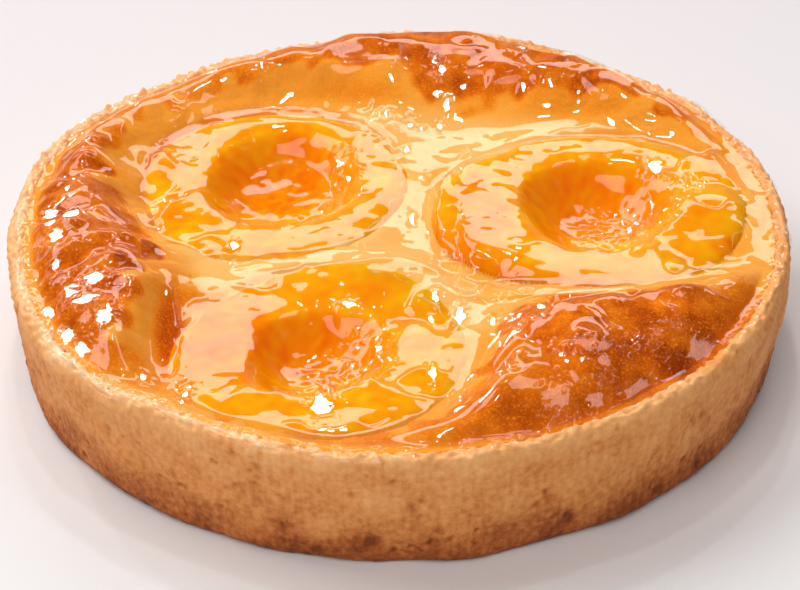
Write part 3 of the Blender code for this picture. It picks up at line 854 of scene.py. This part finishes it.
def build_crust():
    columns = CRUST_COLUMNS
    headings = np.arange(columns) * 360.0 / columns
    angle = np.radians(headings)
    rim = around(headings, RIM)
    rim_x = rim * np.cos(angle)
    rim_y = rim * np.sin(angle)
    base = BASE_RADIUS + BASE_FOLLOW * (rim - RIM_RADIUS)
    top = rim_top(headings)

    def side(z):
        even = base + (rim - base) * z / RIM_HEIGHT
        return even + WALL_LUMPS * waves(rim_x + z, rim_y - z, WALL_LUMP_LENGTH, 12)

    radii = [base - inset for inset in BASE_ROWS] + [side(0.0) - inset for inset, _ in FOOT_ROWS]
    heights = [0.0 * top for _ in BASE_ROWS] + [height + 0.0 * top for _, height in FOOT_ROWS]
    first_wall = len(radii)
    wall_top = top - RIM_ROLL
    wall_rows = int((top.mean() - WALL_FOOT - RIM_ROLL) / WALL_STEP)
    for k in range(wall_rows):
        z = WALL_FOOT + (wall_top - WALL_FOOT) * k / (wall_rows - 1)
        radii.append(side(z))
        heights.append(z)
    first_rim = len(radii)
    for k in range(1, RIM_ROWS):
        turn = math.pi * k / (RIM_ROWS - 1)
        across = 0.5 * (RIM_THICKNESS - RIM_COVER) * (1.0 - math.cos(turn))
        radii.append(rim - 0.1 - across + (side(14.0) - rim) * (1.0 - k / RIM_ROWS))
        heights.append(wall_top + RIM_CROWN * math.sin(turn) ** 0.8)
    first_inside = len(radii)
    for z, inset in INSIDE_ROWS:
        radii.append(inner_wall(headings, z) - inset)
        heights.append(z + 0.0 * top)
    r = np.array(radii)
    place = np.stack([r * np.cos(angle), r * np.sin(angle), np.array(heights)], -1)
    rows = len(radii)
    step = (WALL_STEP, math.tau * RIM_RADIUS / columns)
    padded = 96

    def grain(*layers):
        return sum(amount * soft_noise((padded, columns), step, lengths, seed)[:rows]
                   for amount, lengths, seed in layers)

    row = np.arange(rows)[:, None]
    on_wall = smooth((row - 2.0) / 4.0) * (row < first_inside)
    on_rim = np.exp(-(((row - first_rim - 0.42 * RIM_ROWS) / 7.5) ** 2))
    crumbly = 0.85 + 0.25 * np.cos(np.radians(headings - 150.0))
    relief = grain(*CRUMBS) + on_rim * crumbly * grain(*RIM_CRUMBS)
    pits = np.zeros((rows, columns))
    rng = np.random.RandomState(56)
    for _ in range(PITS):
        place_row = rng.uniform(first_wall + 1, first_rim + 2)
        place_column = rng.uniform(0, columns)
        size = rng.uniform(0.3, 0.6) * (1.0 if rng.uniform() < 0.9 else 1.6)
        depth = rng.uniform(0.08, 0.3)
        gap = (np.arange(columns) - place_column + columns / 2) % columns
        along = (gap - columns / 2) * step[1] / size
        down = (row - place_row) * step[0] / (size * rng.uniform(0.6, 1.0))
        pits += depth * np.exp(-(along[None, :] ** 2 + down ** 2))
    relief = (relief - pits) * on_wall
    place = place + lattice_normals(place) * relief[..., None]
    z = np.maximum(place[..., 2], 0.0)
    z[:len(BASE_ROWS)] = 0.0
    place[..., 2] = z
    height = np.clip(z / RIM_HEIGHT, 0.0, 1.0)
    bake_and_shade = 0.61 - 0.08 * smooth((height - 0.45) / 0.5) + grain(BAKE_CLOUDS)
    # painted shade: the wall is painted darker towards its foot, where little light reaches
    bake_and_shade = bake_and_shade + 0.30 * smooth(1.0 - height * 2.0) + grain(BAKE_STREAKS)
    # painted shade: the pits are painted darker as well as dented
    bake_and_shade = bake_and_shade + grain(BAKE_SPECKS) + 0.9 * pits
    bake_and_shade -= on_rim * (0.24 - 0.12 * np.cos(angle))
    bake_and_shade = np.where(row < len(BASE_ROWS), BASE_BAKE, bake_and_shade)
    points = place.reshape(-1, 3)
    quads = lattice_faces(rows, columns)
    count = len(points)
    points = np.concatenate([points, [[0.0, 0.0, 0.0], [0.0, 0.0, INSIDE_ROWS[-1][0]]]])
    triangles = np.concatenate([cap_faces(0, columns, count, flip=True),
                                cap_faces((rows - 1) * columns, columns, count + 1)])
    values = {"bake_and_shade": np.concatenate([bake_and_shade.ravel(), [BASE_BAKE, BASE_BAKE]])}
    return mesh_object("crust_baked", points, quads, triangles, values)


def build_cream(fields):
    """The filling: its browned top with a seat for each half, its side and its underside."""
    u, v = disc_grid(CREAM_CELLS)
    _, heading = polar(u, v, (0.0, 0.0))
    wall = inner_wall(heading, CREAM_LEVEL) + RIM_COVER + CREAM_MARGIN
    x = u * wall
    y = v * wall
    z = fields["cream"].at(x, y)
    for half in HALVES.values():
        rho, bearing = polar(x, y, half["centre"])
        edge = outline(half, bearing)
        creep = 0.9 * around(bearing, half["edge"], 2) + 0.4 * fields["creep"].at(x, y)
        creep = np.maximum(creep, LEAST_CREEP)
        inside = (edge - rho) / creep
        face = half_height(half, x, y) + face_relief(half, x, y)
        over = face + LEAST_LAYER + (z - face) * smooth(1.0 - inside) ** 2
        bowl = half["level"] - around(bearing, half["edge"])
        share = np.clip(rho / edge, 0.0, 1.0)
        seat = bowl - (bowl - BOWL_FLOOR + GAP) * np.sqrt(1.0 - share ** 2)
        under = np.maximum(face + LEAST_LAYER - 0.6 * (inside - 1.0) * creep, seat)
        z = np.where(inside <= 0.0, z, np.where(inside <= 1.0, over, under))
    r, _ = polar(x, y, (0.0, 0.0))
    start = around(heading, BROWNING) + 0.9 * fields["creep"].at(x, y)
    brown_and_shade = around(heading, BROWNING, 2) * smooth((r - start) / around(heading, BROWNING, 3) + 0.3)
    brown_and_shade *= 1.0 + 0.08 * fields["mottle"].at(x, y) + 0.05 * fields["spots"].at(x, y)
    paler = 0.45 - 0.25 * np.cos(np.radians(heading))
    brown_and_shade = brown_and_shade * (1.0 - paler * smooth((r - wall + 2.4) / 1.8)) + 0.05
    rise, inward, outward = puff_profile(x, y)
    brown_and_shade = np.maximum(brown_and_shade, 0.05 + 0.26 * smooth(rise * inward / 2.6) * (0.6 + 0.4 * outward))
    # painted shade in the groove beside the front half's left edge, with the other darker places
    for *place, strength in SHADE_AND_DARK_PLACES:
        brown_and_shade += strength * smooth(DARKENING_FADE * (1.0 - oval(x, y, *place)))
    points = np.stack([x, y, z], -1).reshape(-1, 3)
    side = CREAM_CELLS + 1
    quads = lattice_faces(side, side, closed=False)
    rim = border(CREAM_CELLS)
    rim_heading = heading.ravel()[rim]
    layers = []
    for level, inset in CREAM_SIDE:
        radius = inner_wall(rim_heading, level) - inset
        layers.append(np.stack([radius * np.cos(np.radians(rim_heading)),
                                radius * np.sin(np.radians(rim_heading)),
                                np.full(len(rim), level)], -1))
    first = len(points)
    points = np.concatenate([points] + layers + [[[0.0, 0.0, CREAM_SIDE[-1][0]]]])
    k = np.arange(len(rim))
    after = (k + 1) % len(rim)
    sides = [np.stack([rim[after], rim[k], first + k, first + after], -1)]
    for layer in range(len(layers) - 1):
        low = first + layer * len(rim)
        sides.append(np.stack([low + after, low + k, low + len(rim) + k, low + len(rim) + after], -1))
    last = first + (len(layers) - 1) * len(rim)
    triangles = cap_faces(last, len(rim), len(points) - 1, flip=True)
    tones = np.full(len(points), 0.1)
    tones[:brown_and_shade.size] = brown_and_shade.ravel()
    return mesh_object("cream_browned", points, np.concatenate([quads] + sides), triangles,
                       {"brown_and_shade": tones})


def build_half(name, half, fields):
    columns = HALF_COLUMNS
    headings = np.arange(columns) * 360.0 / columns
    angle = np.radians(headings)
    cx, cy = half["centre"]
    hx, hy = half["hollow"]
    reach = outline(half, headings)
    lip = hollow_edge(half, headings)
    edge_x = cx + reach * np.cos(angle)
    edge_y = cy + reach * np.sin(angle)
    edge_z = half_height(half, edge_x, edge_y)
    depth = edge_z.mean() - BOWL_FLOOR
    rows, ripe_and_shade = [], []
    for k in range(1, SKIN_ROWS + 1):
        share = math.sin(0.5 * math.pi * k / SKIN_ROWS)
        z = share * edge_z + (1.0 - share) * edge_z.mean() - depth * math.sqrt(1.0 - share ** 2)
        rows.append((cx + reach * share * np.cos(angle), cy + reach * share * np.sin(angle), z))
        ripe_and_shade.append(np.full(columns, SKIN_RIPE))
    lip_x = hx + lip * np.cos(angle)
    lip_y = hy + lip * np.sin(angle)
    outer = HALF_FACE_RINGS * 2 // 5
    for k in range(1, HALF_FACE_RINGS):
        if k <= outer:
            share = (k / outer) ** 1.3
            x = edge_x + (lip_x - edge_x) * share
            y = edge_y + (lip_y - edge_y) * share
        else:
            share = 1.0 - (k - outer) / (HALF_FACE_RINGS - outer)
            x = hx + (lip_x - hx) * share
            y = hy + (lip_y - hy) * share
        sunk = hollow_share(half, x, y)
        z = half_height(half, x, y) + face_relief(half, x, y)
        z = z + fields["fibres"].at(x, y) * smooth(FIBRES_REACH - sunk)
        rows.append((x, y, z))
        deep = 1.0 - smooth(sunk * 0.95)
        steep = np.exp(-((sunk - 0.75) / 0.25) ** 2)
        tone = 0.50 + 0.13 * steep + deep * (0.10 - 0.27 * smooth((hy - y) / 6.0 + 0.4))
        tone += 0.06 * fields["mottle"].at(x, y)
        # the first of these is partly painted shade on the front half's left flank
        for *place, strength in RIPE_AND_SHADE:
            tone += strength * smooth(RIPE_FADE * (1.0 - oval(x, y, *place)))
        ripe_and_shade.append(tone + 0.05 * fields["spots"].at(x, y))
    points = np.array(rows).transpose(0, 2, 1).reshape(-1, 3)
    count = len(points)
    bottom = float(half_height(half, np.array(hx), np.array(hy)))
    points = np.concatenate([points, [[cx, cy, BOWL_FLOOR], [hx, hy, bottom]]])
    quads = lattice_faces(len(rows), columns)
    triangles = np.concatenate([cap_faces(0, columns, count, flip=True),
                                cap_faces((len(rows) - 1) * columns, columns, count + 1)])
    tones = np.concatenate([np.array(ripe_and_shade).ravel(), [SKIN_RIPE, SKIN_RIPE]])
    return mesh_object(name + "_flesh", points, quads, triangles, {"ripe_and_shade": tones})


def build_glaze(fields):
    """The film of jelly over the cream, the halves and the rim, thinning out to nothing."""
    u, v = disc_grid(GLAZE_CELLS)
    share, heading = polar(u, v, (0.0, 0.0))
    rim = around(heading, RIM)
    turn = np.radians(heading)
    ring_x, ring_y = 40.0 * np.cos(turn), 40.0 * np.sin(turn)
    wander = waves(ring_x, ring_y, 9.0, 61) + 0.6 * waves(ring_x, ring_y, 3.5, 62)
    reach = rim - around(heading, GLAZE_INSET) + EDGE_WANDER * np.clip(0.4 * wander, -1.0, 0.6)
    x = u * reach
    y = v * reach
    z = fields["glaze"].at(x, y)
    under = fields["top"].at(x, y)
    r = share * reach
    z = under + (z - under) * smooth((reach - r) / GLAZE_END) - 0.25 * smooth(1.0 - (reach - r) / 0.4)
    thickness = np.clip((z - under - 0.15) / 1.6, 0.0, 1.0)
    place = np.stack([x, y, z], -1)
    normals = np.cross(np.gradient(place, axis=1), np.gradient(place, axis=0))
    normals /= np.linalg.norm(normals, axis=-1, keepdims=True) + 1e-9
    middle = GLAZE_CELLS // 2
    for name, columns in (("glaze_left", slice(0, middle + 1)), ("glaze_right", slice(middle, None))):
        part = place[:, columns]
        faces = lattice_faces(*part.shape[:2], closed=False)
        film = mesh_object(name, part.reshape(-1, 3), faces, (), {"thickness": thickness[:, columns]})
        film.data.normals_split_custom_set_from_vertices(normals[:, columns].reshape(-1, 3).tolist())
        yield film


# ------ stage
def add_camera():
    place = camera_place()
    ahead = -place.normalized()
    right = ahead.cross(Vector((0.0, 0.0, 1.0))).normalized()
    up = right.cross(ahead)
    ahead = ahead + math.tan(math.radians(CAMERA_YAW)) * right
    ahead = (ahead + math.tan(math.radians(CAMERA_PITCH)) * up).normalized()
    right = ahead.cross(up).normalized()
    up = right.cross(ahead)
    turn = math.radians(CAMERA_ROLL)
    across = math.cos(turn) * right + math.sin(turn) * up
    upward = math.cos(turn) * up - math.sin(turn) * right
    camera = add_object("camera", bpy.data.cameras.new("camera"))
    camera.data.sensor_width = SENSOR_WIDTH
    camera.data.lens = FOCAL_PIXELS / PICTURE_WIDTH * SENSOR_WIDTH
    camera.data.clip_start = 0.01
    camera.matrix_world = Matrix.Translation(place) @ Matrix(
        (across, upward, -ahead)).transposed().to_4x4()
    bpy.context.scene.camera = camera


def add_softbox(name, heading, elevation, distance, width, height, radiance, colour=(1, 1, 1)):
    """Flat lamp that faces the tart; radiance is how bright its face looks."""
    lamp = bpy.data.lights.new(name, "AREA")
    lamp.shape = "RECTANGLE"
    lamp.size = width
    lamp.size_y = height
    lamp.energy = radiance * math.pi * width * height
    lamp.color = colour
    obj = add_object(name, lamp)
    away = towards(heading, elevation)
    obj.location = away * distance
    obj.rotation_euler = away.to_track_quat("Z", "Y").to_euler()


def add_stage():
    mesh = bpy.data.meshes.new("floor")
    half = 3.0
    mesh.from_pydata([(-half, -half, 0), (half, -half, 0), (half, half, 0), (-half, half, 0)], [],
                     [(0, 1, 2, 3)])
    floor = add_object("floor", mesh)
    floor.data.materials.append(plain_material("floor_paper", (0.90, 0.925, 0.925), 0.9))
    world = bpy.data.worlds.new("studio")
    world.use_nodes = True
    world.node_tree.nodes["Background"].inputs["Color"].default_value = (1.0, 0.96, 0.96, 1.0)
    world.node_tree.nodes["Background"].inputs["Strength"].default_value = 0.05
    bpy.context.scene.world = world
    add_softbox("back_softbox", 90.0, 37.0, 0.8, 0.80, 0.20, 4.6, (1.0, 0.955, 0.935))
    add_softbox("back_panel", 90.0, 12.0, 1.0, 1.6, 0.40, 0.22, (1.0, 0.93, 0.89))
    add_softbox("key_softbox", 150.0, 50.0, 1.0, 0.60, 0.50, 4.6, (1.0, 0.97, 0.96))
    add_softbox("top_panel", *TOP_PANEL, 0.24, 0.13, 4.0, (1.0, 0.95, 0.93))
    for spot in SPOTS:
        add_softbox(*spot)
    add_softbox("front_fill", 250.0, 52.0, 1.0, 0.8, 0.6, 3.2, (1.0, 0.97, 0.96))
    add_softbox("right_fill", -35.0, 35.0, 1.2, 0.9, 0.7, 0.4, (1.0, 0.95, 0.92))
    bpy.context.scene.view_settings.view_transform = "Standard"


def dress(piece, material, slot, *nodes):
    piece.data.materials.append(material)
    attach(piece, "root")
    if nodes:
        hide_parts(*nodes)


fields = build_fields()
dress(build_crust(), crust_material(), "crust", "crust")
dress(build_cream(fields), cream_material(), "cream", "filling")
flesh = apricot_material()
for half_name, half_shape in HALVES.items():
    dress(build_half(half_name, half_shape, fields), flesh, "apricot", half_name)
jelly = glaze_material()
for film in build_glaze(fields):
    dress(film, jelly, "cream")
add_camera()
add_stage()
